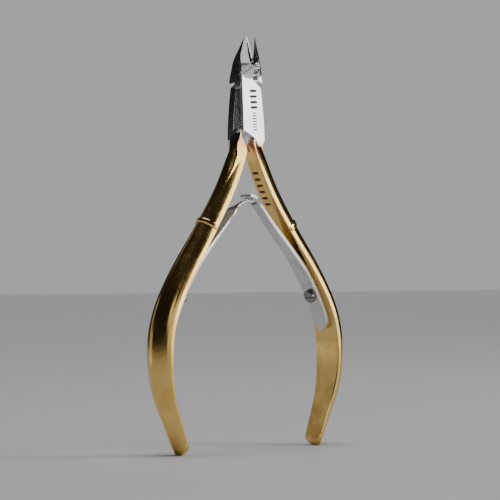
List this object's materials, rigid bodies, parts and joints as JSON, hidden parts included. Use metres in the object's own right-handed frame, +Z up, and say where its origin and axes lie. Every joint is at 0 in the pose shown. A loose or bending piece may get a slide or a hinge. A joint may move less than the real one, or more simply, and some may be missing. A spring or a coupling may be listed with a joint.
{
  "type": "cuticle nipper",
  "caption": "Hand nipper for cuticles: crossing levers on a rivet, short pointed jaws, gold-plated bow handles and interlocked leaf springs that hold it open.",
  "frame": {"origin": "on the ground midway between the two feet, at the middle of the joint's thickness, with the tool standing jaws up and held open by its springs", "axes": "+X from the left handle to the right handle, -Y is the front with the cutting edges, +Z up from the feet to the jaw tips"},
  "size_m": [0.065, 0.0092, 0.11],
  "materials": {
    "plated_lever": "polished forging, gold plated below the joint and bare bright steel above it",
    "rivet_steel": "polished flush with the rear plate",
    "spring_steel": "satin spring steel strip",
    "screw_steel": "bright slotted screw"
  },
  "bodies": {
    "rear_half": {"rear_lever": "plated_lever", "left_spring_foot": "spring_steel", "left_spring_screw": "screw_steel"},
    "front_half": {"front_lever": "plated_lever", "pivot_rivet": "rivet_steel", "right_spring_foot": "spring_steel", "right_spring_screw": "screw_steel"},
    "right_blade": {"right_spring_blade": "spring_steel"},
    "left_blade": {"left_spring_blade": "spring_steel"}
  },
  "joints": [
    {"name": "pivot", "type": "hinge", "parent": "rear_half", "child": "front_half", "pos_m": [0, 0, 0.0903], "axis": [0, 1, 0], "range_deg": [-2.4, 7.4], "stiffness_Nm_per_rad": 2.5},
    {"name": "right_spring_flex", "type": "hinge", "parent": "front_half", "child": "right_blade", "pos_m": [0.01935, 0, 0.04746], "axis": [0, 1, 0], "range_deg": [-1.8, 4.6]},
    {"name": "left_spring_flex", "type": "hinge", "parent": "rear_half", "child": "left_blade", "pos_m": [-0.01935, 0, 0.04746], "axis": [0, 1, 0], "range_deg": [-4.6, 1.8]}
  ],
  "couplings": [
    {"joint": "right_spring_flex", "follows": "pivot", "ratio": 0.56},
    {"joint": "left_spring_flex", "follows": "pivot", "ratio": -0.56}
  ]
}
